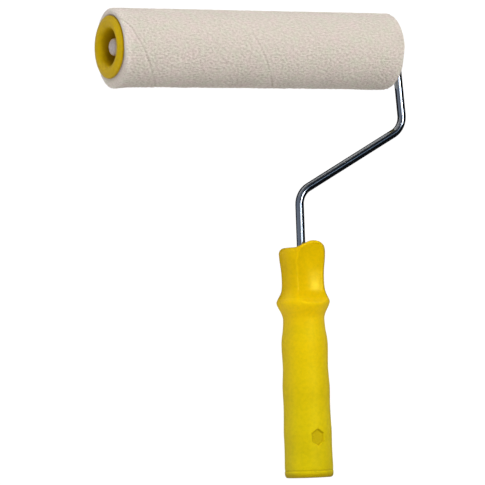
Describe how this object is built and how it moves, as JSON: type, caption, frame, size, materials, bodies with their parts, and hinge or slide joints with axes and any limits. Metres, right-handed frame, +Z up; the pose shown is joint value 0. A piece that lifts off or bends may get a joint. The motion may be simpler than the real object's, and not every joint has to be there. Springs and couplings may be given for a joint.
{
  "type": "paint roller",
  "caption": "Hand paint roller: a fabric-covered sleeve with plastic end caps spins on a bent steel wire frame set in a moulded grip.",
  "frame": {"origin": "on the surface that the roller lies on, under the centre of its overall box", "axes": "+X along the roller's axle from its free end to its wire end, +Y from the handle towards the roller, +Z up from the surface, towards the thumb rest"},
  "size_m": [0.2362, 0.3274, 0.054],
  "materials": {
    "handle_plastic": "satin-gloss moulded polypropylene",
    "cap_plastic": "satin moulded polypropylene",
    "wire_steel": "bright plated",
    "retaining_steel": "zinc plated pressing",
    "washer_nylon": "natural nylon",
    "core_plastic": "extruded tube",
    "pile_fabric": "short dense woven pile"
  },
  "bodies": {
    "frame": {"handle": "handle_plastic", "rod": "wire_steel", "retaining_cap": "retaining_steel", "thrust_washer_free": "washer_nylon", "thrust_washer_rod": "washer_nylon"},
    "sleeve": {"core_tube": "core_plastic", "pile_cover": "pile_fabric", "end_cap_free": "cap_plastic", "end_cap_rod": "cap_plastic"}
  },
  "joints": [
    {"name": "sleeve_spin", "type": "hinge", "parent": "frame", "child": "sleeve", "pos_m": [0, 0.13667, 0.027], "axis": [1, 0, 0], "continuous": true}
  ]
}
